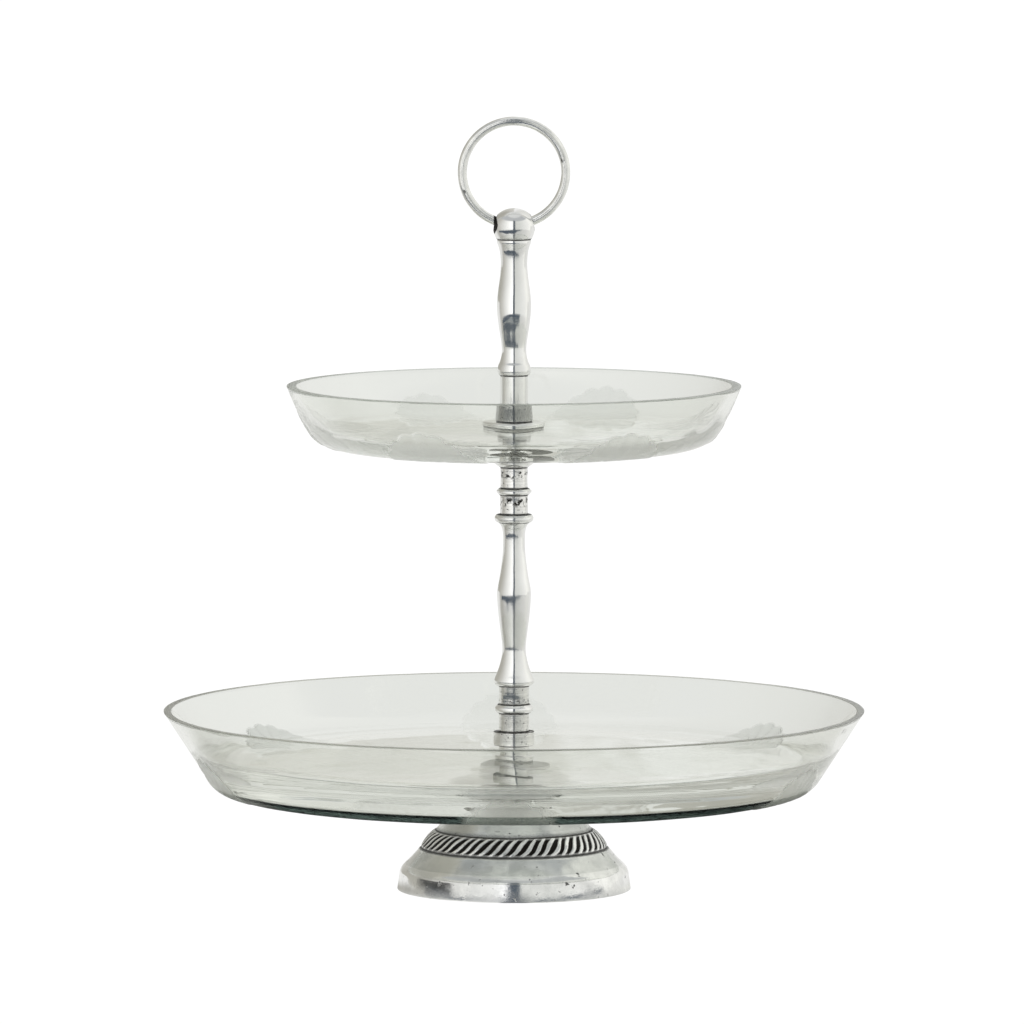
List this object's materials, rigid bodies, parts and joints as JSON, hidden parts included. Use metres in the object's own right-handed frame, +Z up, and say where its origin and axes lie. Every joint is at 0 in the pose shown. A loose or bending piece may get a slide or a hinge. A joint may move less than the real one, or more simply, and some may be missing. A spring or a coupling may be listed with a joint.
{
  "type": "tiered cake stand",
  "caption": "Round glass dishes stacked on a turned aluminium column, with a hollow cast foot below and a swinging carrying ring on top.",
  "frame": {"origin": "centre of the foot's underside, on the surface it stands on", "axes": "+Z up the column, the carrying ring stands in the XZ plane, -Y is the front"},
  "size_m": [0.35, 0.35, 0.3864],
  "materials": {
    "cast_aluminium": "polished casting, pitted, dark in the recesses",
    "polished_aluminium": "mirror polished with fine wear",
    "brushed_aluminium": "turned, fine circular tool marks",
    "ring_wire": "polished",
    "clear_glass": "clear, faint grey-green, ground rim, frosted medallions",
    "zinc_steel": "zinc plated",
    "pale_silicone": "matt"
  },
  "bodies": {
    "stand": {"foot": "cast_aluminium", "lower_bead": "polished_aluminium", "pillar_baluster": "polished_aluminium", "upper_bead": "polished_aluminium", "plate_support": "polished_aluminium", "pillar_base": "brushed_aluminium", "lower_sleeve": "brushed_aluminium", "middle_sleeve": "brushed_aluminium", "upper_sleeve": "brushed_aluminium", "top_sleeve": "brushed_aluminium", "lower_plate": "clear_glass", "upper_plate": "clear_glass", "tie_rod": "zinc_steel", "plain_washer": "zinc_steel", "lock_washer": "zinc_steel", "rod_nut": "zinc_steel", "foot_gasket": "pale_silicone", "pillar_gasket": "pale_silicone", "support_gasket": "pale_silicone"},
    "clamp": {"clamp_disc": "polished_aluminium", "clamp_gasket": "pale_silicone"},
    "handle": {"clamp_collar": "brushed_aluminium", "handle_tube": "polished_aluminium", "handle_stud": "zinc_steel", "handle_baluster": "polished_aluminium", "finial_stud": "zinc_steel", "finial_ball": "polished_aluminium"},
    "ring": {"ring_handle": "ring_wire"}
  },
  "joints": [
    {"name": "clamp_rise", "type": "slide", "parent": "stand", "child": "clamp", "axis": [0, 0, 1], "range_m": [0, 0.015]},
    {"name": "handle_unscrew", "type": "hinge", "parent": "clamp", "child": "handle", "pos_m": [0, 0, 0.2336], "axis": [0, 0, 1], "range_deg": [0, 4320]},
    {"name": "ring_swing", "type": "hinge", "parent": "handle", "child": "ring", "pos_m": [0, 0, 0.3339], "axis": [1, 0, 0], "range_deg": [-165, 165]}
  ],
  "couplings": [
    {"joint": "clamp_rise", "follows": "handle_unscrew", "m_per_rad": 0.00019894}
  ]
}
